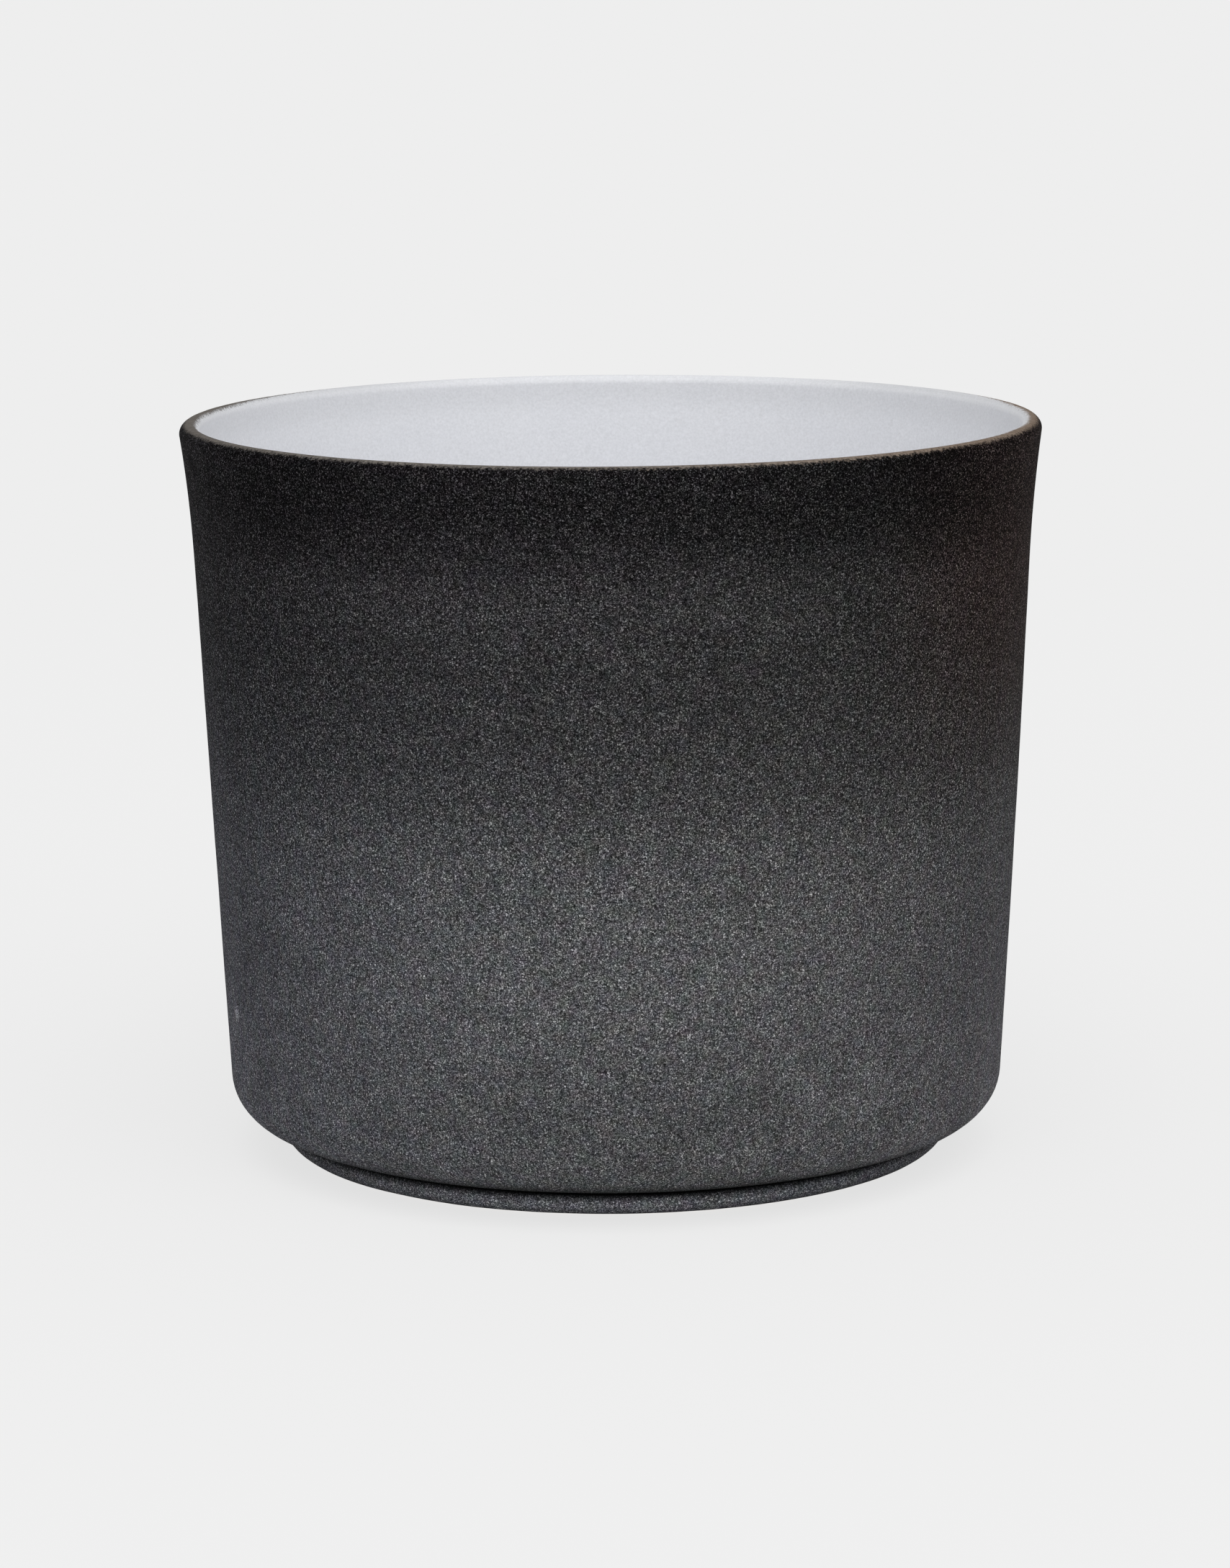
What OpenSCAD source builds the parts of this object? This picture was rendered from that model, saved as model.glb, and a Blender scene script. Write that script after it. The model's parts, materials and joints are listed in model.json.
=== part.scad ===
// Empty candle jar: an open stoneware vessel with a flared mouth, standing on a low foot ring.
// The clay is bare underneath. A dark sand glaze covers the outside and turns over the lip, where
// it meets the white liner glaze that covers the inside.
// Millimetres, +Z up. The origin is the centre of the plane that the foot stands on.

/* [Vessel] */
// Outer diameter of the mouth, over the glaze
rim_d = 120; // [90:1:160]
// Height from the table to the crest of the lip
height = 103; // [70:1:150]
// Thickness of the wall at the lip, with both glazes
lip_t = 2.9; // [2.2:0.1:4]
// How much thicker the wall is at the floor than at the lip
wall_gain = 0.8; // [0:0.1:2]
// Thickness of the floor, with its liner glaze
floor_t = 4.6; // [3:0.1:8]
// Angle that the wall leans outwards
wall_lean = 2.85; // [0.5:0.05:5]
// Depth below the lip where the flare starts
flare_depth = 19; // [14:1:30]
// How far the flare carries the lip beyond the leaning wall
flare_reach = 0.85; // [0.1:0.05:1.5]
// Radius of the heel, which rounds the wall into the underside
heel_r = 6.6; // [3:0.1:10]
// Radius inside, where the wall meets the floor
floor_r = 9; // [4:0.5:14]

/* [Foot ring] */
// Height of the vessel's underside above the table
foot_h = 4.3; // [3.8:0.1:8]
// Flat underside between the heel and the side of the foot
foot_gap = 0.7; // [0.4:0.1:6]
// Height of the groove between the underside and the foot
groove_h = 0.6; // [0.3:0.1:1]
// Depth of the groove, in from the side of the foot
groove_d = 2.5; // [1:0.1:3]
// Radius of the foot's shoulder, below the groove
shoulder_r = 0.9; // [0.6:0.1:1.2]
// Width of the foot's rounded lower edge
foot_edge_w = 5.2; // [2:0.1:7]
// Width of the flat ring that touches the table
contact_w = 4.4; // [2:0.1:8]
// Radius on the lower edge of the ring's bore
bore_edge_r = 0.8; // [0.3:0.1:1.5]

/* [Glaze] */
// Thickness of both glazes
glaze_t = 0.3; // [0.2:0.05:0.5]
// Where the glazes meet on the lip, in degrees past the crest towards the inside
glaze_turn = 28; // [0:1:60]
// Height of the band around the foot that is wiped clean of glaze
wiped_h = 0.6; // [0.3:0.1:1.2]

/* [Hidden] */
$fn = 180;

arc_step = 6;     // degrees between the points of an arc, at most
flare_steps = 14; // straight stretches that make up the flare

// The lip is a half round between the outer and the inner wall
lip_r = lip_t / 2;
lip_z = height - lip_r;
flare_z = height - flare_depth;
flare_run = lip_z - flare_z;
lip_lean = atan(tan(wall_lean) + 2 * flare_reach / flare_run);
lip_c = rim_d / 2 - lip_r;
glaze_split = 90 + glaze_turn;

// The outer wall's line carried down to the table
base_line_r = lip_c + lip_r / cos(lip_lean) - flare_reach - lip_z * tan(wall_lean);

heel_z = foot_h + heel_r;
heel_c = base_line_r + heel_z * tan(wall_lean) - heel_r / cos(wall_lean);

inner_lean = atan(tan(wall_lean) + wall_gain / lip_z);
floor_z = foot_h + floor_t;
floor_c_z = floor_z + floor_r;
floor_c = inner_r(floor_c_z) - floor_r / cos(inner_lean);

// The clay lies one glaze thickness inside the glazed surface
clay_z = foot_h + glaze_t;
foot_r = heel_c - foot_gap;
neck_r = foot_r - groove_d;
neck_clay_r = neck_r - glaze_t;
groove_z = foot_h - groove_h;
edge_z = groove_z - shoulder_r;
contact_r = foot_r - foot_edge_w;
bore_r = contact_r - contact_w;

// Outer radius of the wall at height z: a straight lean, then a parabolic flare
function outer_r(z) =
    base_line_r + z * tan(wall_lean) + flare_reach * pow(max(0, z - flare_z) / flare_run, 2);

// Inner radius of the wall at height z
function inner_r(z) = outer_r(z) - lip_t / cos(lip_lean) - wall_gain * (1 - z / lip_z);

// An arc's points about [r, z], from angle a to angle b
function arc(r, z, radius, a, b) =
    let (steps = ceil(abs(b - a) / arc_step))
    [for (i = [0 : steps])
        let (t = a + (b - a) * i / steps)
        [r + radius * cos(t), z + radius * sin(t)]];

function reversed(points) = [for (i = [len(points) - 1 : -1 : 0]) points[i]];
function without_first(points) = [for (i = [1 : len(points) - 1]) points[i]];

// The profiles below are drawn on the glazed surface, or `inset` under it.
// Outer wall, from the underside up to the lip
function outer_wall(inset) = concat(
    arc(heel_c, heel_z, heel_r - inset, -90, -wall_lean),
    [for (i = [0 : flare_steps - 1])
        let (z = flare_z + flare_run * i / flare_steps)
        [outer_r(z) - inset / cos(wall_lean), z]]);

// Lip, between two angles about its centre
function lip(inset, a, b) = arc(lip_c, lip_z, lip_r - inset, a, b);
function outer_lip(inset) = lip(inset, -lip_lean, glaze_split);
function inner_lip(inset) = lip(inset, glaze_split, 180 - lip_lean);

// Inner wall, from the lip down and across to the middle of the floor
function inner_wall(inset) = concat(
    [for (i = [flare_steps - 1 : -1 : 0])
        let (z = flare_z + flare_run * i / flare_steps)
        [inner_r(z) + inset / cos(inner_lean), z]],
    arc(floor_c, floor_c_z, floor_r + inset, -inner_lean, -90),
    [[0, floor_z - inset]]);

// The foot's rounded lower edge, a quarter ellipse, between two heights
function foot_edge(inset, high, low) =
    let (w = foot_edge_w - inset,
        h = edge_z + glaze_t - inset,
        start = asin((edge_z - high) / h),
        stop = asin((edge_z - low) / h),
        steps = ceil((stop - start) / arc_step))
    [for (i = [0 : steps])
        let (t = start + (stop - start) * i / steps)
        [contact_r + w * cos(t), edge_z - h * sin(t)]];

// The foot's glazed side, from the neck over the shoulder and down to the wiped band
function foot_side(inset) = concat(
    [[neck_r - inset, groove_z - inset]],
    arc(foot_r - shoulder_r, edge_z, shoulder_r - inset, 90, 0),
    without_first(foot_edge(inset, edge_z, wiped_h)));

// The fired stoneware: wall, lip and floor in one casting
module clay_body() {
    color([0.74, 0.66, 0.55])
        rotate_extrude()
            polygon(concat(
                [[0, clay_z]],
                outer_wall(glaze_t),
                outer_lip(glaze_t),
                without_first(inner_lip(glaze_t)),
                inner_wall(glaze_t)));
}

// The ring of stoneware that is luted under the body, with a groove round its neck
module foot_ring() {
    color([0.70, 0.62, 0.51])
        rotate_extrude()
            polygon(concat(
                [[bore_r, clay_z], [neck_clay_r, clay_z]],
                foot_side(glaze_t),
                without_first(foot_edge(glaze_t, wiped_h, 0)),
                arc(bore_r + bore_edge_r, bore_edge_r, bore_edge_r, -90, -180)));
}

// The dark outer glaze of the body, from the foot's neck up and over the lip
module sand_glaze() {
    color([0.16, 0.16, 0.17])
        rotate_extrude()
            polygon(concat(
                [[neck_clay_r, foot_h]],
                outer_wall(0),
                outer_lip(0),
                reversed(outer_lip(glaze_t)),
                reversed(outer_wall(glaze_t)),
                [[neck_clay_r, clay_z]]));
}

// The dark glaze around the foot, from the neck down to the wiped band
module foot_glaze() {
    color([0.19, 0.19, 0.20])
        rotate_extrude()
            polygon(concat(
                [[neck_r, foot_h]],
                foot_side(0),
                reversed(foot_side(glaze_t)),
                [[neck_clay_r, foot_h]]));
}

// The white glaze that lines the inside, from the lip down and over the floor
module liner_glaze() {
    color([0.86, 0.87, 0.88])
        rotate_extrude()
            polygon(concat(
                inner_lip(0),
                inner_wall(0),
                reversed(inner_wall(glaze_t)),
                reversed(inner_lip(glaze_t))));
}

clay_body();
foot_ring();
sand_glaze();
foot_glaze();
liner_glaze();
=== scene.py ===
"""Looks of the stoneware candle jar: glazes, clay, studio and camera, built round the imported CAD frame.

Lengths are in metres unless a name ends in _mm, and angles are in degrees. Each turned piece takes its
outline from the CAD node that it replaces. The materials' sizes and heights are in millimetres.
"""
import json
import math

import bpy
from mathutils import Euler, Matrix, Vector, noise


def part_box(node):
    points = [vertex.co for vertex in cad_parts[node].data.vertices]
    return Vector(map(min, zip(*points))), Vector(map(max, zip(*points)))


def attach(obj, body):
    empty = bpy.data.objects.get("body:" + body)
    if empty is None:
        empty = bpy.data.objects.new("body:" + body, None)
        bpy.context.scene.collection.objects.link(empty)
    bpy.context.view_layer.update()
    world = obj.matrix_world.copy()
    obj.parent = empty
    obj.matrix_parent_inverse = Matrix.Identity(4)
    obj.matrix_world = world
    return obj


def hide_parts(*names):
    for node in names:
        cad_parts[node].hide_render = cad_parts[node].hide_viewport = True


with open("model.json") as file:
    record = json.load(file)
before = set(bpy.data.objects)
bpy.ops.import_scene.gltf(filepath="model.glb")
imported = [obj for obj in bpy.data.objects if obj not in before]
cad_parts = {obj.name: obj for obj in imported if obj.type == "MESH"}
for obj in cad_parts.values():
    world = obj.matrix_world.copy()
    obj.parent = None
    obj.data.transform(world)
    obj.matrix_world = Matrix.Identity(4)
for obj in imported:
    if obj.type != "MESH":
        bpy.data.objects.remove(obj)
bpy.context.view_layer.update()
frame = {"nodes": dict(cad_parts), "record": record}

MM = 0.001

# Turned meshes
SEGMENTS = 480          # columns round the jar
GLAZE_ROW_MM = 1.2      # longest row of a glaze that shows
CLAY_ROW_MM = 0.6       # longest row of clay that shows
RING_GRID = 1e-5        # vertices this close in radius and height are on one ring
SHARP_ANGLE = 35        # edges that turn more than this are shaded sharp
GLAZE_REACH_MM = 0.3    # distance from the other pieces at which a glaze has its full relief
CLAY_REACH_MM = 1.0     # the same distance for clay

# Relief of the fired surfaces, inwards, so that the jar stays inside the CAD's box
WAVE_MM = 14            # length of the slow waves in the surfaces
WAVE_DEPTH_MM = 0.07
RIPPLE_MM = 4.2         # length of the faster ripples in the glaze
RIPPLE_DEPTH_MM = 0.03
BOX_MARGIN_MM = 0.015   # how far inside the CAD's box the outermost points lie
TOOL_RING_MM = 3.0      # distance between the rings that the turning tool leaves underneath
TOOL_DEPTH_MM = 0.06
BULGE_MM = 0.3          # how far the wall is out of round, outwards on +X at half its height

# Camera, as the photograph was taken: in front, a little above the rim, with a long lens
CAMERA_BACK = 0.700
CAMERA_UP = 0.179
CAMERA_TILT = 10.37
CAMERA_TURN = 0.02
CAMERA_ROLL = 0.446
SENSOR_MM = 36
LENS_MM = 115.64

SAND_ALBEDO = 0.0428    # of the sand glaze low on the wall, before its grains

# The inputs of a Mix node, which are the same for every data type
FACTOR = 0
FIRST_FLOAT, SECOND_FLOAT = 2, 3
FIRST_COLOUR, SECOND_COLOUR = 6, 7

# Studio
SKY_LIGHT = 0.56
FRONT_LIGHT = 10.0      # watts
BACK_LIGHT = 1.0
SOFTBOX_DISTANCE = 1.0  # from the jar's axis, in front of it and behind it
SOFTBOX_UP = 0.055
SOFTBOX_SIZE = (0.5, 0.1)
SOFTBOX_ASIDE = 0.03    # how far the front one stands to the right
TOP_LIGHT = 1.4
TOP_LIGHT_ANGLE = 60
TOP_LIGHT_PLACE = Vector((0.1, -0.6, 1.0))
FLOOR_SIZE = 60
FLOOR_FADE = (0.2, 0.6) # distances between which the floor changes from near the jar to far away
FLOOR_ALBEDO = 0.15     # near the jar; far away it is 0
FLOOR_GLOW = 0.715      # near the jar; far away it is the backdrop's brightness
BACKDROP = 0.855


# Outlines and turned meshes

def ring_numbers(mesh):
    """The number of each vertex's ring, and the (radius, height) of each ring, in a turned mesh."""
    numbers = []
    places = []
    cells = {}
    around = [(0, 0)] + [(i, j) for i in (-1, 0, 1) for j in (-1, 0, 1) if i or j]
    for vertex in mesh.vertices:
        radius = math.hypot(vertex.co.x, vertex.co.y)
        cell = (round(radius / RING_GRID), round(vertex.co.z / RING_GRID))
        near = [(cell[0] + i, cell[1] + j) for i, j in around]
        number = next((cells[key] for key in near if key in cells), None)
        if number is None:
            number = len(places)
            cells[cell] = number
            places.append((radius, vertex.co.z))
        numbers.append(number)
    return numbers, places


def section(node):
    """A turned node's outline as (radius, height) points, which run upwards on its outer side.

    It is a closed loop, or a line from axis to axis.
    """
    mesh = frame["nodes"][node].data
    numbers, places = ring_numbers(mesh)
    links = {number: set() for number in range(len(places))}
    for face in mesh.polygons:
        rings = {numbers[i] for i in face.vertices}
        for ring in rings:
            links[ring] |= rings - {ring}
    ends = [ring for ring in links if len(links[ring]) == 1]
    order = [min(ends) if ends else 0]
    while len(order) < len(places):
        order.append(next(ring for ring in links[order[-1]] if ring not in order[-2:]))
    outline = [places[ring] for ring in order]
    if ends:
        outline = [(0, outline[0][1])] + outline + [(0, outline[-1][1])]
    area = sum(a[0] * b[1] - b[0] * a[1] for a, b in zip(outline, outline[1:] + outline[:1]))
    return outline if area > 0 else outline[::-1]


def distance(point, start, end):
    """How far a point is from the stretch between two others."""
    run = Vector(end) - Vector(start)
    offset = Vector(point) - Vector(start)
    share = offset.dot(run) / max(run.length_squared, RING_GRID ** 2)
    return (offset - run * min(1, max(0, share))).length


def stretches(outline):
    """Pairs of neighbouring points, round the loop unless the outline starts on the axis."""
    following = outline[1:] + outline[:1] if is_loop(outline) else outline[1:]
    return list(zip(outline, following))


def is_loop(outline):
    return outline[0][0] > RING_GRID


def bareness(point, node, reach_mm):
    """0 where a point of the node touches another node, rising to 1 at the reach from it."""
    others = [pair for other, outline in outlines.items() if other != node for pair in stretches(outline)]
    return min(1, min(distance(point, *pair) for pair in others) / (reach_mm * MM))


def split_rows(node, row_mm, reach_mm):
    """The node's outline, with the stretches that show split into even rows."""
    points = []
    for start, end in stretches(outlines[node]):
        middle = ((start[0] + end[0]) / 2, (start[1] + end[1]) / 2)
        shows = bareness(middle, node, reach_mm) > 0.5
        rows = math.ceil(math.dist(start, end) / (row_mm * MM)) if shows else 1
        for row in range(rows):
            share = row / rows
            points.append(tuple(Vector(start).lerp(Vector(end), share)))
    if not is_loop(outlines[node]):
        points.append(outlines[node][-1])
    return points


def outward(points):
    """The unit direction out of the material at each point of an outline."""
    directions = []
    last = len(points) - 1
    for i in range(len(points)):
        before = points[i - 1] if is_loop(points) or i > 0 else points[i]
        after = points[(i + 1) % len(points)] if is_loop(points) or i < last else points[i]
        run = Vector((after[0] - before[0], after[1] - before[1])).normalized()
        directions.append((run.y, -run.x))
    return directions


def turned(name, node, row_mm, reach_mm, relief):
    """A closed mesh turned from a node's outline. relief(place) is how far a bare point lies inwards."""
    outline = split_rows(node, row_mm, reach_mm)
    vertices = []
    columns = range(SEGMENTS)
    rows = []
    for (radius, height), (out, up) in zip(outline, outward(outline)):
        bare = bareness((radius, height), node, reach_mm)
        if radius < RING_GRID:
            rows.append([len(vertices)] * SEGMENTS)
            place = Vector((0, 0, height))
            vertices.append(place - Vector((0, 0, up)) * relief(place) * bare)
            continue
        rows.append([len(vertices) + column for column in columns])
        for column in columns:
            angle = 2 * math.pi * column / SEGMENTS
            across = Vector((math.cos(angle), math.sin(angle), 0))
            place = across * radius + Vector((0, 0, height))
            direction = across * out + Vector((0, 0, up))
            vertices.append(place - direction * relief(place) * bare)
    return joined(name, vertices, rows, is_loop(outline))


def joined(name, vertices, rows, loop):
    """An object with faces between neighbouring rows of vertices."""
    faces = []
    for lower, upper in zip(rows, rows[1:] + rows[:1]) if loop else zip(rows, rows[1:]):
        for column in range(SEGMENTS):
            beside = (column + 1) % SEGMENTS
            corners = (lower[column], lower[beside], upper[beside], upper[column])
            faces.append(list(dict.fromkeys(corners)))
    mesh = bpy.data.meshes.new(name)
    mesh.from_pydata(vertices, [], faces)
    mesh.polygons.foreach_set("use_smooth", [True] * len(faces))
    mesh.set_sharp_from_angle(angle=math.radians(SHARP_ANGLE))
    mesh.validate()
    piece = bpy.data.objects.new(name, mesh)
    bpy.context.scene.collection.objects.link(piece)
    return piece


# Relief

def wave(place):
    return WAVE_DEPTH_MM * (0.5 + 0.5 * noise.noise(place / (WAVE_MM * MM)))


def glaze_relief(place):
    """Slow waves and faster ripples, as a glaze settles when it is fired."""
    ripple = 0.5 + 0.5 * noise.noise(place / (RIPPLE_MM * MM) + Vector((7, 3, 5)))
    return (BOX_MARGIN_MM + wave(place) + RIPPLE_DEPTH_MM * ripple) * MM


def wall_relief(place):
    """The glaze's relief on a wall that is slightly out of round, fuller on +X."""
    up = min(1, max(0, place.z / lip_height))
    aside = max(0, place.x / place.xy.length)
    return glaze_relief(place) - BULGE_MM * MM * math.sin(math.pi * up) ** 0.7 * aside ** 2


def clay_relief(place):
    """Slow waves and the turning tool's spiral, fading out where the foot is ground flat."""
    turn = math.atan2(place.y, place.x)
    spiral = 0.5 + 0.5 * math.sin(2 * math.pi * place.xy.length / (TOOL_RING_MM * MM) + turn)
    return (wave(place) + TOOL_DEPTH_MM * spiral) * MM * min(1, place.z / MM)


outlines = {part["node"]: section(part["node"]) for part in frame["record"]["subparts"]}

# The lip is a half round: the radius and height of its centre, from the sand glaze's crest and box
lip_crest, lip_top = max(outlines["sand_glaze"], key=lambda point: point[1])
lip_height = lip_top - (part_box("sand_glaze")[1].x - lip_crest)

crevice_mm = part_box("foot_glaze")[1].z / MM     # height of the crevice between body and foot
floor_mm = min(height for radius, height in outlines["liner_glaze"] if radius < RING_GRID) / MM
contact_mm = max(radius for radius, height in outlines["foot_ring"] if height < RING_GRID) / MM


# Materials

class Graph:
    """The node tree of one material. A value is a number, a colour or the output of a node made before."""

    def __init__(self, name):
        self.material = bpy.data.materials.new(name)
        self.material.use_nodes = True
        self.tree = self.material.node_tree
        self.tree.nodes.clear()
        self.place = self.node("TexCoord").outputs["Object"]
        self.place_mm = self.vector("SCALE", self.place, scale=1 / MM)
        self.height_mm = self.parts(self.place_mm)[2]

    def node(self, kind, inputs=None, **settings):
        made = self.tree.nodes.new("ShaderNode" + kind)
        for key, value in settings.items():
            setattr(made, key, value)
        for key, value in (inputs or {}).items():
            self.put(made.inputs[key], value)
        return made

    def put(self, socket, value):
        if isinstance(value, bpy.types.NodeSocket):
            self.tree.links.new(value, socket)
        else:
            socket.default_value = value

    def math(self, operation, *values):
        return self.node("Math", dict(enumerate(values)), operation=operation).outputs[0]

    def vector(self, operation, *values, scale=None):
        made = self.node("VectorMath", dict(enumerate(values)), operation=operation)
        if scale is not None:
            made.inputs["Scale"].default_value = scale
        return made.outputs["Value" if operation in ("LENGTH", "DOT_PRODUCT") else "Vector"]

    def parts(self, vector):
        return self.node("SeparateXYZ", {0: vector}).outputs

    def flat(self, place):
        """The place's direction and distance from the jar's axis."""
        x, y, _ = self.parts(place)
        return self.node("CombineXYZ", {0: x, 1: y}).outputs[0]

    def radius(self, place):
        """How far a place is from the jar's axis."""
        return self.vector("LENGTH", self.flat(place))

    def mix(self, share, first, second):
        """The colour share of the way from first to second."""
        made = self.node("Mix", data_type="RGBA")
        self.put(made.inputs[FACTOR], share)
        self.put(made.inputs[FIRST_COLOUR], first)
        self.put(made.inputs[SECOND_COLOUR], second)
        return made.outputs[2]

    def blend(self, share, first, second):
        """The number share of the way from first to second."""
        inputs = {FACTOR: share, FIRST_FLOAT: first, SECOND_FLOAT: second}
        return self.node("Mix", inputs, data_type="FLOAT").outputs[0]

    def step(self, value, start, end, low=0.0, high=1.0):
        """A smooth step from low at start to high at end."""
        inputs = {0: value, 1: start, 2: end, 3: low, 4: high}
        return self.node("MapRange", inputs, interpolation_type="SMOOTHSTEP").outputs[0]

    def noise(self, size_mm, detail=2.0, roughness=0.5, shift=0.0):
        """Soft noise with features of about size_mm, from 0 to 1 about a mean of 0.5."""
        moved = self.vector("ADD", self.place_mm, (shift, shift, shift))
        inputs = {"Vector": moved, "Scale": 1 / size_mm, "Detail": detail, "Roughness": roughness}
        return self.node("TexNoise", inputs).outputs[0]

    def weigh(self, value, weight, total):
        """total plus weight times how far a noise value is from its mean of 0.5."""
        return self.math("MULTIPLY_ADD", self.math("SUBTRACT", value, 0.5), weight, total)

    def scaled(self, colour, share):
        """The colour made brighter or darker."""
        made = self.node("VectorMath", {0: colour, "Scale": share}, operation="SCALE")
        return made.outputs["Vector"]

    def cells(self, size_mm, place):
        """The nearest of points size_mm apart: its distance as a share of that, and its random colour."""
        made = self.node("TexVoronoi", {"Vector": place, "Scale": 1 / size_mm})
        return made.outputs["Distance"], made.outputs["Color"]

    def colours(self, size_mm):
        """Soft noise in all colours, with features of about size_mm."""
        inputs = {"Vector": self.place_mm, "Scale": 1 / size_mm, "Detail": 1.0}
        return self.node("TexNoise", inputs).outputs["Color"]

    def warped(self, amount_mm, size_mm):
        """The place moved about by up to amount_mm, for outlines that aren't round."""
        offset = self.vector("SUBTRACT", self.colours(size_mm), (0.5, 0.5, 0.5))
        return self.vector("ADD", self.place_mm, self.vector("SCALE", offset, scale=2 * amount_mm))

    def finish(self, colour, roughness, height_mm, specular):
        """The finished material. The specular level is the same all over, so it is set on the shader."""
        bump = self.node("Bump", {"Height": height_mm, "Distance": MM, "Strength": 1.0})
        shader = self.node("BsdfPrincipled", {"Base Color": colour, "Roughness": roughness})
        shader.inputs["Specular IOR Level"].default_value = specular
        self.tree.links.new(bump.outputs[0], shader.inputs["Normal"])
        output = self.node("OutputMaterial")
        self.tree.links.new(shader.outputs[0], output.inputs["Surface"])
        return self.material


def grey(value):
    return (value, value, value, 1)


def sand_grains(graph):
    """The sand's brightness in stops about its mean, the share of pale dots, and the grains' height."""
    warped = graph.warped(0.14, 0.35)
    grain_share, random_colour = graph.cells(0.30, warped)
    pick = graph.parts(random_colour)[0]
    grain = graph.math("MULTIPLY", graph.step(grain_share, 0.55, 0.15), graph.math("POWER", pick, 2.0))
    fine = graph.noise(0.15, 1.0, 0.5)
    curls = graph.noise(0.30, 1.0, 0.5, shift=25)
    dot_share, dot_colour = graph.cells(0.8, warped)
    dot_pick = graph.parts(dot_colour)[1]
    dot = graph.math("MULTIPLY", graph.step(dot_share, 0.17, 0.07), graph.step(dot_pick, 0.5, 1.0))
    stops = graph.weigh(fine, 9.0, graph.weigh(curls, 5.0, 0.0))
    stops = graph.math("MULTIPLY_ADD", grain, 2.3, stops)
    stops = graph.math("MULTIPLY_ADD", dot, 0.9, stops)
    height = graph.math("MULTIPLY_ADD", grain, 0.05, graph.math("MULTIPLY", curls, 0.05))
    return stops, dot, height


def sand_layer(graph):
    """Colour, roughness and height of the dark sand glaze: pale curls and dots of sand on a dark ground,
    with painted highlight and shade.
    """
    grain_stops, dot, relief = sand_grains(graph)
    cloud = graph.noise(6.0, 3.0, 0.55, shift=40)
    level = graph.weigh(cloud, 16.0, graph.height_mm)
    side = graph.step(broadside(graph), 0.85, 0.25)
    grains_in_stops = grain_contrast(graph, grain_stops, level, side)
    # The ground carries painted highlight, sheen and shade round the jar
    stops = graph.math("ADD", grains_in_stops, ground_and_painted_light_stops(graph, level, side))
    stops = graph.weigh(cloud, 1.0, stops)
    scuff = mark(graph, azimuth=197.5, height_mm=21.9, half_width_mm=1.5, half_height_mm=1.8)
    stops = graph.math("MULTIPLY_ADD", scuff, 1.1, stops)
    smudge = mark(graph, azimuth=196, height_mm=99.0, half_width_mm=2.2, half_height_mm=1.3)
    stops = graph.math("MULTIPLY_ADD", smudge, -1.2, stops)
    brightness = graph.math("MULTIPLY", graph.math("POWER", 2.0, stops), SAND_ALBEDO)
    # Painted shade in the crevice between body and foot and low on the foot
    brightness = graph.math("MULTIPLY", brightness, painted_crevice_shade(graph))

    hue = graph.mix(0.14, sand_tone(graph), graph.colours(1.8))
    hue = graph.mix(graph.step(grain_stops, 0.0, 2.5, 0.0, 0.6), hue, (0.503, 0.502, 0.494, 1))
    colour = graph.scaled(hue, graph.math("MULTIPLY", brightness, 2.0))
    roughness = graph.blend(dot, 0.9, 0.7)
    return colour, roughness, relief


def grain_contrast(graph, grain_stops, level, side):
    """The grains' stops, stronger towards the rim and at the sides, and none far above the rest."""
    contrast = graph.step(level, 20.0, 90.0, 1.06, 1.31)
    contrast = graph.math("ADD", contrast, graph.step(level, 86.0, 100.0, 0.0, 0.5))
    contrast = graph.math("MULTIPLY_ADD", side, graph.step(graph.height_mm, 20.0, 92.0, 0.0, 0.45), contrast)
    ceiling = graph.math("MULTIPLY_ADD", contrast, 1.8, 1.3)
    return graph.math("SMOOTH_MIN", graph.math("MULTIPLY", grain_stops, contrast), ceiling, 1.2)


def broadside(graph):
    """1 in front and behind, falling to 0 at both sides."""
    across = facing(graph, 268)
    return graph.math("MULTIPLY", across, across)


def ground_and_painted_light_stops(graph, level, side):
    """The brightness of the glaze's ground in stops: darker towards the rim, most in front and behind, with
    painted highlight, sheen and shade round the jar.
    """
    height = graph.height_mm
    # Darker all the way up, and more so under the lip, at the heel and in a band round the middle
    stops = graph.step(level, 106.0, 16.0, -2.6, 0.0)
    stops = graph.math("ADD", stops, graph.step(level, 86.0, 97.0, 0.0, -0.5))
    stops = graph.math("ADD", stops, graph.step(height, 50.0, 14.0, 0.0, -0.5))
    band = graph.math("MULTIPLY", graph.step(level, 50.0, 62.0), graph.step(level, 86.0, 76.0))
    stops = graph.math("MULTIPLY_ADD", band, -0.25, stops)
    # Painted highlight and shade: the front and back are brighter than the sides, except at the heel, and
    # most of all on the foot
    broad = broadside(graph)
    share = graph.step(height, 14.0, 34.0, -0.5, 0.3)
    share = graph.math("ADD", share, graph.step(height, 66.0, 86.0, 0.0, 0.5))
    share = graph.math("ADD", share, graph.step(height, crevice_mm + 0.4, crevice_mm - 0.8, 0.0, 1.4))
    stops = graph.math("MULTIPLY_ADD", graph.math("SUBTRACT", broad, 0.6), share, stops)
    # Painted sheen: the very sides are a little brighter; painted shade: the quarters beside them are darker
    # towards the rim
    stops = graph.math("ADD", stops, graph.step(broad, 0.22, 0.08, 0.0, 0.28))
    stops = graph.math("MULTIPLY_ADD", side, graph.step(height, 20.0, 92.0, 0.0, -0.35), stops)
    stops = graph.math("MULTIPLY_ADD", side, graph.step(height, 82.0, 98.0, 0.0, -0.5), stops)
    # Darker near the rim in front and behind, which takes the painted highlight away there
    rim = graph.math("MULTIPLY", graph.step(level, 84.0, 99.0), graph.step(broad, 0.1, 0.5))
    return graph.math("MULTIPLY_ADD", rim, -1.1, stops)


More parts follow.
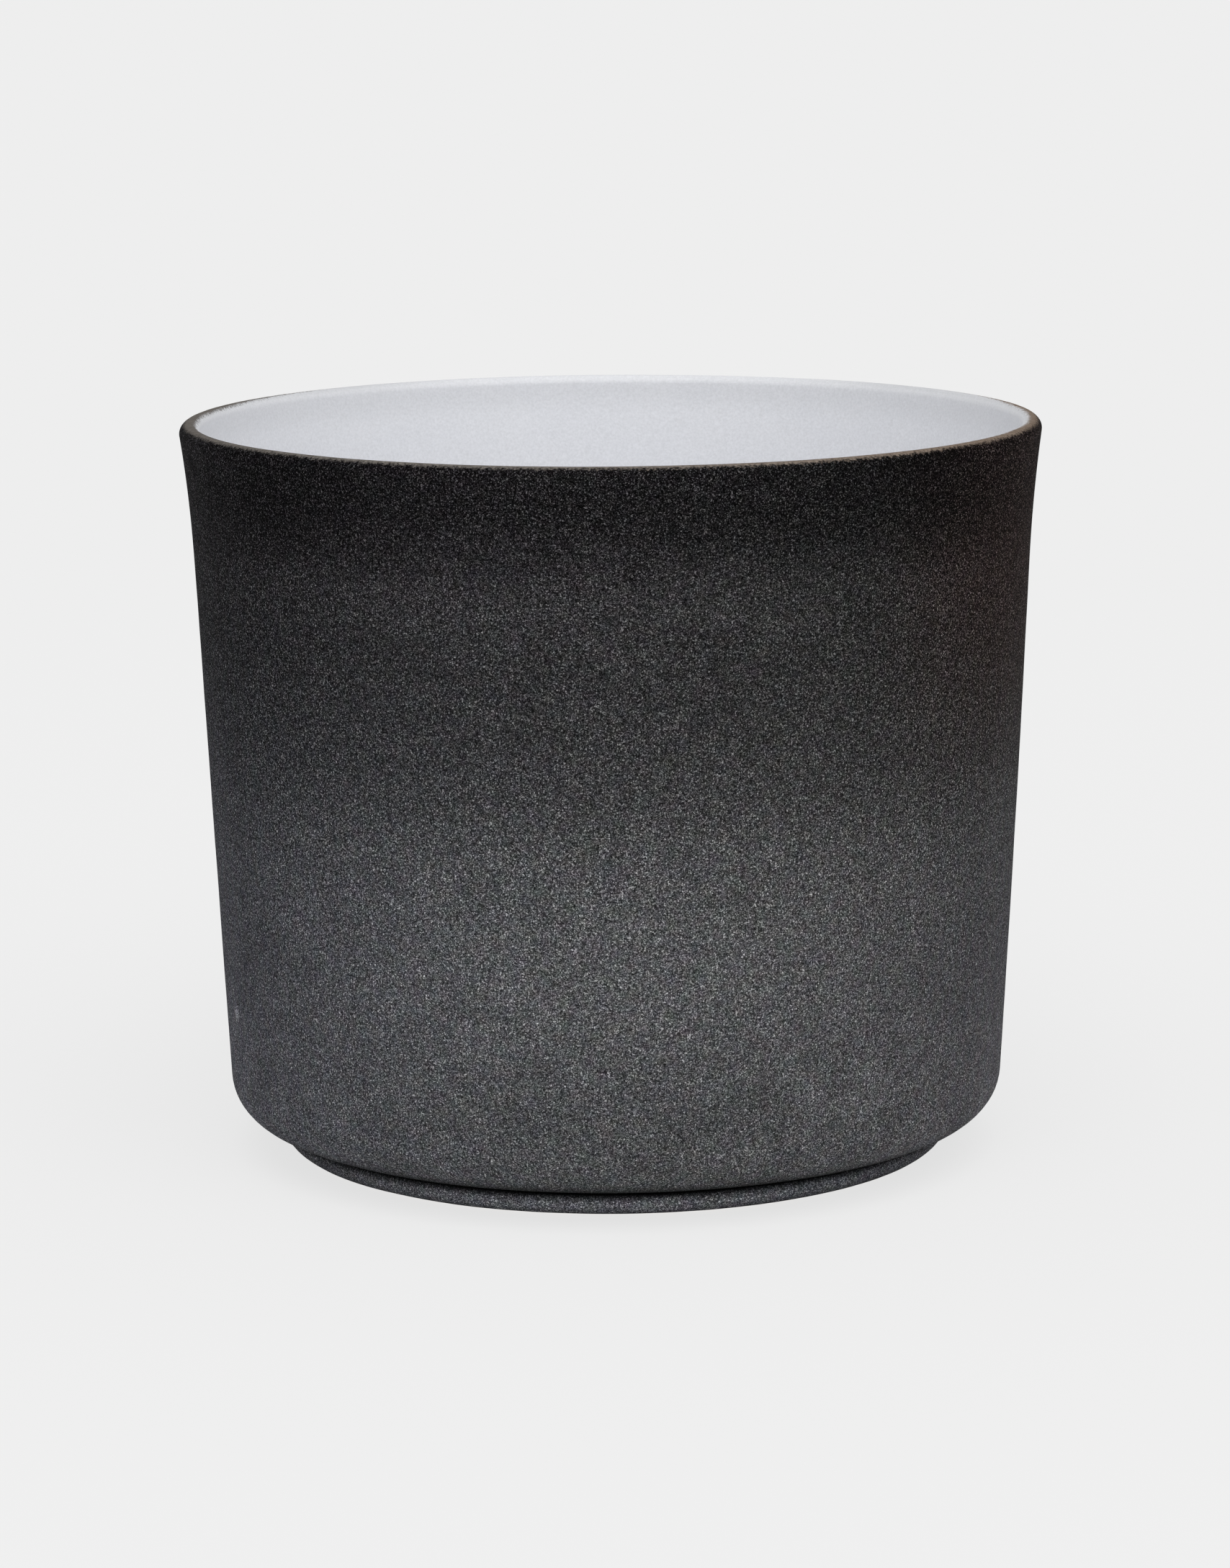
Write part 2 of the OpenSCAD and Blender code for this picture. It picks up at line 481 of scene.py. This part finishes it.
def mark(graph, azimuth, height_mm, half_width_mm, half_height_mm):
    """A soft patch on the wall: 1 in its middle, and 0 beyond its half width and half height."""
    turn = math.radians(azimuth)
    sideways = (-math.sin(turn) / half_width_mm, math.cos(turn) / half_width_mm, 0)
    across = graph.vector("DOT_PRODUCT", graph.place_mm, sideways)
    up = graph.math("SUBTRACT", graph.height_mm, height_mm)
    up = graph.math("DIVIDE", up, half_height_mm)
    ragged = graph.weigh(graph.noise(0.5, 2.0, 0.6, shift=5), 0.8, across)
    away = graph.vector("LENGTH", graph.node("CombineXYZ", {0: ragged, 1: up}).outputs[0])
    return graph.math("MULTIPLY", graph.step(away, 1.0, 0.4), graph.step(facing(graph, azimuth), 0.5, 0.6))


def sand_tone(graph):
    """The sand's hue, at a brightness of 0.5: cool low down, neutral above and brown near the rim on +X."""
    height = graph.height_mm
    left = graph.step(facing(graph, 200), -0.4, 1.0)
    cool = graph.mix(left, (0.507, 0.494, 0.560, 1), (0.483, 0.490, 0.602, 1))
    cool = graph.mix(graph.math("MULTIPLY", broadside(graph), 0.5), cool, (0.478, 0.501, 0.470, 1))
    neutral = graph.step(graph.math("MULTIPLY_ADD", left, -24.0, height), 20.0, 80.0)
    middle = graph.mix(left, (0.505, 0.497, 0.500, 1), (0.510, 0.491, 0.545, 1))
    tone = graph.mix(neutral, cool, middle)
    high = graph.mix(left, (0.514, 0.493, 0.511, 1), (0.538, 0.483, 0.565, 1))
    tone = graph.mix(graph.step(height, 76.0, 97.0), tone, high)
    tone = graph.mix(graph.step(height, crevice_mm + 0.5, crevice_mm - 0.5), tone, (0.483, 0.492, 0.570, 1))
    brown = graph.math("MULTIPLY", graph.step(height, 48.0, 92.0), graph.step(facing(graph, -5), 0.60, 0.97))
    return graph.mix(brown, tone, (0.76, 0.445, 0.40, 1))


def painted_crevice_shade(graph):
    """Painted shade beside the crevice between body and foot and low on the foot: how bright the glaze is
    painted there, from 0 to 1.
    """
    height = graph.height_mm
    body = graph.step(height, crevice_mm, crevice_mm + 2.4, 0.15, 1.0)
    foot = graph.step(height, crevice_mm - 0.6, crevice_mm - 2.0, 0.0, 0.95)
    foot = graph.math("MULTIPLY", foot, graph.step(height, 0.3, 2.0, 0.3, 1.0))
    return graph.blend(graph.math("LESS_THAN", height, crevice_mm - 0.05), body, foot)


def facing(graph, azimuth):
    """The cosine of the angle between a point's direction from the axis and the azimuth, counted from +X."""
    towards = (math.cos(math.radians(azimuth)), math.sin(math.radians(azimuth)), 0)
    return graph.vector("DOT_PRODUCT", graph.vector("NORMALIZE", graph.flat(graph.place)), towards)


def liner_layer(graph):
    """Colour, roughness and height of the white liner glaze, greyer where it pools round the floor."""
    cloud = graph.noise(9.0, 3.0, 0.55, shift=15)
    fine = graph.noise(1.2, 2.0, 0.6, shift=22)
    grit = graph.noise(0.35, 2.0, 0.6, shift=77)
    colour = graph.mix(cloud, (0.838, 0.849, 0.885, 1), (0.878, 0.884, 0.910, 1))
    colour = graph.mix(graph.step(fine, 0.62, 0.8, 0.0, 0.2), colour, (0.66, 0.66, 0.66, 1))
    colour = graph.scaled(colour, graph.weigh(grit, 0.30, 1.0))
    height = graph.weigh(cloud, 5.0, graph.height_mm)
    pool = graph.step(height, floor_mm + 10.0, floor_mm + 3.0)
    ring = graph.math("MULTIPLY", pool, graph.step(height, floor_mm, floor_mm + 2.5, 0.35, 1.0))
    colour = graph.mix(graph.math("MULTIPLY", ring, 0.6), colour, (0.60, 0.645, 0.71, 1))
    roughness = graph.blend(fine, 0.40, 0.54)
    roughness = graph.math("MULTIPLY_ADD", pool, -0.14, roughness)
    relief = graph.math("MULTIPLY_ADD", grit, 0.006, graph.math("MULTIPLY", fine, 0.012))
    return colour, roughness, relief


def lip_angle(graph):
    """The angle round the lip in degrees: 0 faces outwards, 90 is the crest and 180 faces inwards."""
    inwards = graph.math("SUBTRACT", lip_crest, graph.radius(graph.place))
    above = graph.math("SUBTRACT", graph.parts(graph.place)[2], lip_height)
    return graph.math("ADD", graph.math("DEGREES", graph.math("ARCTAN2", inwards, above)), 90.0)


def lip_shares(graph, angle, z, below):
    """How thin the glaze is, and how white, round the lip: ragged, and whitest at the back."""
    speckle = graph.noise(0.4, 2.0, 0.6, shift=70)
    wander = graph.noise(11.0, 2.0, 0.5, shift=90)
    spread = graph.weigh(speckle, 70.0, angle)
    spread = graph.weigh(wander, 26.0, spread)
    spread = graph.math("MULTIPLY_ADD", graph.step(facing(graph, 230), 0.4, 0.95), -6.0, spread)
    on_lip = graph.step(z, lip_height - 0.8 * MM, lip_height + 0.1 * MM)
    thin = graph.math("MULTIPLY", graph.step(spread, 38.0, 74.0), on_lip)
    whiter = graph.math("MULTIPLY_ADD", graph.step(facing(graph, 82), 0.3, 0.75), 42.0, spread)
    whiter = graph.math("MULTIPLY_ADD", graph.step(facing(graph, 215), 0.3, 0.9), -18.0, whiter)
    whiter = graph.math("MULTIPLY_ADD", graph.step(facing(graph, 160), 0.85, 0.99), -9.0, whiter)
    return thin, graph.blend(on_lip, below, graph.step(whiter, 90.0, 124.0))


def thin_glaze(graph):
    """The colour where the glaze is thin on the lip: tan towards +X and stone grey towards -X."""
    patch = graph.noise(0.6, 2.0, 0.6, shift=60)
    stone = graph.mix(patch, (0.048, 0.049, 0.047, 1), (0.175, 0.175, 0.17, 1))
    brown = graph.mix(patch, (0.105, 0.075, 0.056, 1), (0.30, 0.235, 0.185, 1))
    return graph.mix(graph.step(facing(graph, 10), -0.6, 1.05, 0.28, 1.0), stone, brown)


def white_with_lip_shade(graph, white, angle, z):
    """The white glaze with painted shade: a little darker on the lip's crest, except at the back, and just
    under the lip.
    """
    near_lip = graph.step(z, lip_height - 2 * MM, lip_height)
    crest = graph.math("MULTIPLY", graph.step(angle, 175.0, 95.0), near_lip)
    crest = graph.math("MULTIPLY", crest, graph.step(facing(graph, 87), 0.7, 1.0, 0.2, 0.0))
    white = graph.scaled(white, graph.math("SUBTRACT", 1.0, crest))
    return graph.scaled(white, graph.step(z, lip_height - 5 * MM, lip_height - 0.5 * MM, 1.0, 0.91))


def glaze(name, below, specular):
    """The two glazes, which run into each other over the lip through a thin, sandy tan band.

    below is which of them the wall has under the lip: 0 for the dark one and 1 for the white one.
    """
    graph = Graph(name)
    dark, dark_roughness, dark_relief = sand_layer(graph)
    white, white_roughness, white_relief = liner_layer(graph)
    angle = lip_angle(graph)
    z = graph.parts(graph.place)[2]
    thin, inside = lip_shares(graph, angle, z, below)
    # Painted shade on the white over the lip
    white = white_with_lip_shade(graph, white, angle, z)
    colour = graph.mix(thin, dark, thin_glaze(graph))
    colour = graph.mix(inside, colour, white)
    roughness = graph.blend(inside, dark_roughness, white_roughness)
    relief = graph.blend(inside, dark_relief, white_relief)
    return graph.finish(colour, roughness, relief, specular)


def bare_clay(name):
    """Fired buff stoneware with brown and dark grog and the fine rings of the turning tool."""
    graph = Graph(name)
    cloud = graph.noise(7.0, 3.0, 0.55, shift=33)
    fine = graph.noise(0.3, 3.0, 0.65, shift=11)
    grog_share, random_colour = graph.cells(0.9, graph.warped(0.25, 0.6))
    pick = graph.parts(random_colour)[0]
    grog = graph.math("MULTIPLY", graph.step(grog_share, 0.34, 0.2), graph.step(pick, 0.45, 0.85))
    colour = graph.mix(cloud, (0.46, 0.38, 0.29, 1), (0.62, 0.54, 0.44, 1))
    colour = graph.mix(graph.step(fine, 0.35, 0.75, 0.0, 0.5), colour, (0.70, 0.63, 0.54, 1))
    colour = graph.mix(graph.math("MULTIPLY", grog, 0.7), colour, (0.20, 0.13, 0.08, 1))
    radius = graph.radius(graph.place_mm)
    spray = graph.weigh(fine, 1.6, graph.step(radius, contact_mm + 0.6, contact_mm + 3.0))
    colour = graph.mix(graph.step(spray, 0.35, 0.8, 0.0, 0.9), colour, (0.045, 0.043, 0.042, 1))
    scrape = graph.math("SINE", graph.math("MULTIPLY_ADD", radius, 5.5, graph.math("MULTIPLY", cloud, 6.0)))
    worn = graph.weigh(fine, 2.4, graph.math("MULTIPLY_ADD", scrape, 0.5, 0.5))
    colour = graph.mix(graph.step(worn, 0.2, 1.3, 0.22, 0.0), colour, (0.24, 0.17, 0.11, 1))
    relief = graph.math("MULTIPLY_ADD", fine, 0.06, graph.math("MULTIPLY", grog, 0.03))
    relief = graph.math("MULTIPLY_ADD", scrape, 0.03, relief)
    roughness = graph.blend(fine, 0.85, 0.98)
    return graph.finish(colour, roughness, relief, specular=0.25)


# Pieces

def place(piece, node, material):
    """Puts the piece on the jar's body in the place of its CAD node, which it hides, and gives it the
    material.
    """
    piece.data.materials.append(material)
    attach(piece, "root")
    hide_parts(node)


def make_pieces(clay, dark_glaze, white_glaze):
    body = turned("stoneware_body", "clay_body", CLAY_ROW_MM, CLAY_REACH_MM, clay_relief)
    place(body, "clay_body", clay)
    foot = turned("stoneware_foot", "foot_ring", CLAY_ROW_MM, CLAY_REACH_MM, clay_relief)
    place(foot, "foot_ring", clay)
    outside = turned("outer_sand_glaze", "sand_glaze", GLAZE_ROW_MM, GLAZE_REACH_MM, wall_relief)
    place(outside, "sand_glaze", dark_glaze)
    around_foot = turned("foot_sand_glaze", "foot_glaze", GLAZE_ROW_MM, GLAZE_REACH_MM, glaze_relief)
    place(around_foot, "foot_glaze", dark_glaze)
    lining = turned("inner_liner_glaze", "liner_glaze", GLAZE_ROW_MM, GLAZE_REACH_MM, glaze_relief)
    place(lining, "liner_glaze", white_glaze)


# Studio

def make_camera():
    data = bpy.data.cameras.new("camera")
    data.sensor_width = SENSOR_MM
    data.lens = LENS_MM
    data.clip_end = 4 * FLOOR_SIZE
    camera = bpy.data.objects.new("camera", data)
    camera.location = (0, -CAMERA_BACK, CAMERA_UP)
    aim = Euler((math.radians(90 - CAMERA_TILT), 0, math.radians(-CAMERA_TURN)))
    roll = Matrix.Rotation(math.radians(-CAMERA_ROLL), 3, "Z")
    camera.rotation_euler = (aim.to_matrix() @ roll).to_euler()
    bpy.context.scene.collection.objects.link(camera)
    bpy.context.scene.camera = camera


def fade_socket(tree, distance_m, socket, near, far):
    """Fades a shader's socket from its value near the jar to its value far away."""
    fade = tree.nodes.new("ShaderNodeMapRange")
    fade.interpolation_type = "SMOOTHSTEP"
    fade.inputs["From Min"].default_value, fade.inputs["From Max"].default_value = FLOOR_FADE
    fade.inputs["To Min"].default_value = near
    fade.inputs["To Max"].default_value = far
    tree.links.new(distance_m, fade.inputs["Value"])
    tree.links.new(fade.outputs["Result"], socket)


def floor_material():
    """Pale paper, shaded by the jar near it and evenly bright far away. It is clear from underneath."""
    material = bpy.data.materials.new("pale_floor")
    material.use_nodes = True
    tree = material.node_tree
    tree.nodes.clear()
    paper = tree.nodes.new("ShaderNodeBsdfPrincipled")
    paper.inputs["Roughness"].default_value = 1.0
    paper.inputs["Specular IOR Level"].default_value = 0.0
    paper.inputs["Emission Strength"].default_value = 1.0
    geometry = tree.nodes.new("ShaderNodeNewGeometry")
    length = tree.nodes.new("ShaderNodeVectorMath")
    length.operation = "LENGTH"
    tree.links.new(geometry.outputs["Position"], length.inputs[0])
    distance_m = length.outputs["Value"]
    fade_socket(tree, distance_m, paper.inputs["Base Color"], FLOOR_ALBEDO, 0.0)
    fade_socket(tree, distance_m, paper.inputs["Emission Color"], FLOOR_GLOW, BACKDROP)
    clear = tree.nodes.new("ShaderNodeBsdfTransparent")
    choice = tree.nodes.new("ShaderNodeMixShader")
    output = tree.nodes.new("ShaderNodeOutputMaterial")
    tree.links.new(geometry.outputs["Backfacing"], choice.inputs[0])
    tree.links.new(paper.outputs[0], choice.inputs[1])
    tree.links.new(clear.outputs[0], choice.inputs[2])
    tree.links.new(choice.outputs[0], output.inputs["Surface"])
    return material


def make_floor():
    """A wide floor that shows only from above, so that the jar can also be seen from underneath."""
    half = FLOOR_SIZE / 2
    mesh = bpy.data.meshes.new("floor")
    corners = [(-half, -half, 0), (half, -half, 0), (half, half, 0), (-half, half, 0)]
    mesh.from_pydata(corners, [], [range(4)])
    floor = bpy.data.objects.new("floor", mesh)
    floor.data.materials.append(floor_material())
    bpy.context.scene.collection.objects.link(floor)


def make_sky():
    """Even light from all round. The backdrop that the camera sees is as pale as the floor far away."""
    world = bpy.data.worlds.new("studio")
    world.use_nodes = True
    tree = world.node_tree
    tree.nodes.clear()
    light = tree.nodes.new("ShaderNodeBackground")
    light.inputs["Color"].default_value = grey(1.0)
    light.inputs["Strength"].default_value = SKY_LIGHT
    backdrop = tree.nodes.new("ShaderNodeBackground")
    backdrop.inputs["Color"].default_value = grey(BACKDROP)
    path = tree.nodes.new("ShaderNodeLightPath")
    choice = tree.nodes.new("ShaderNodeMixShader")
    output = tree.nodes.new("ShaderNodeOutputWorld")
    tree.links.new(path.outputs["Is Camera Ray"], choice.inputs[0])
    tree.links.new(light.outputs[0], choice.inputs[1])
    tree.links.new(backdrop.outputs[0], choice.inputs[2])
    tree.links.new(choice.outputs[0], output.inputs["Surface"])
    bpy.context.scene.world = world


def make_softbox(name, across, away, energy):
    """A low, wide softbox that faces the jar. It ends level with the rim, so it hardly lights the inside."""
    data = bpy.data.lights.new(name, "AREA")
    data.shape = "RECTANGLE"
    data.size, data.size_y = SOFTBOX_SIZE
    data.energy = energy
    lamp = bpy.data.objects.new(name, data)
    lamp.location = (across, away, SOFTBOX_UP)
    lamp.rotation_euler = (math.radians(math.copysign(90, -away)), 0, 0)
    lamp.visible_camera = False
    bpy.context.scene.collection.objects.link(lamp)


def make_top_light():
    """Wide, soft light from above, in front and a little to the right."""
    data = bpy.data.lights.new("top_light", "SUN")
    data.angle = math.radians(TOP_LIGHT_ANGLE)
    data.energy = TOP_LIGHT
    lamp = bpy.data.objects.new("top_light", data)
    lamp.location = TOP_LIGHT_PLACE
    lamp.rotation_euler = TOP_LIGHT_PLACE.to_track_quat("Z", "Y").to_euler()
    bpy.context.scene.collection.objects.link(lamp)


def make_studio():
    make_floor()
    make_sky()
    make_softbox("front_softbox", SOFTBOX_ASIDE, -SOFTBOX_DISTANCE, FRONT_LIGHT)
    make_softbox("back_softbox", 0.0, SOFTBOX_DISTANCE, BACK_LIGHT)
    make_top_light()
    bpy.context.scene.view_settings.view_transform = "Standard"


make_camera()
make_studio()
dark_glaze = glaze("sand_glaze", below=0.0, specular=0.02)
white_glaze = glaze("liner_glaze", below=1.0, specular=0.5)
make_pieces(bare_clay("bare_clay"), dark_glaze, white_glaze)
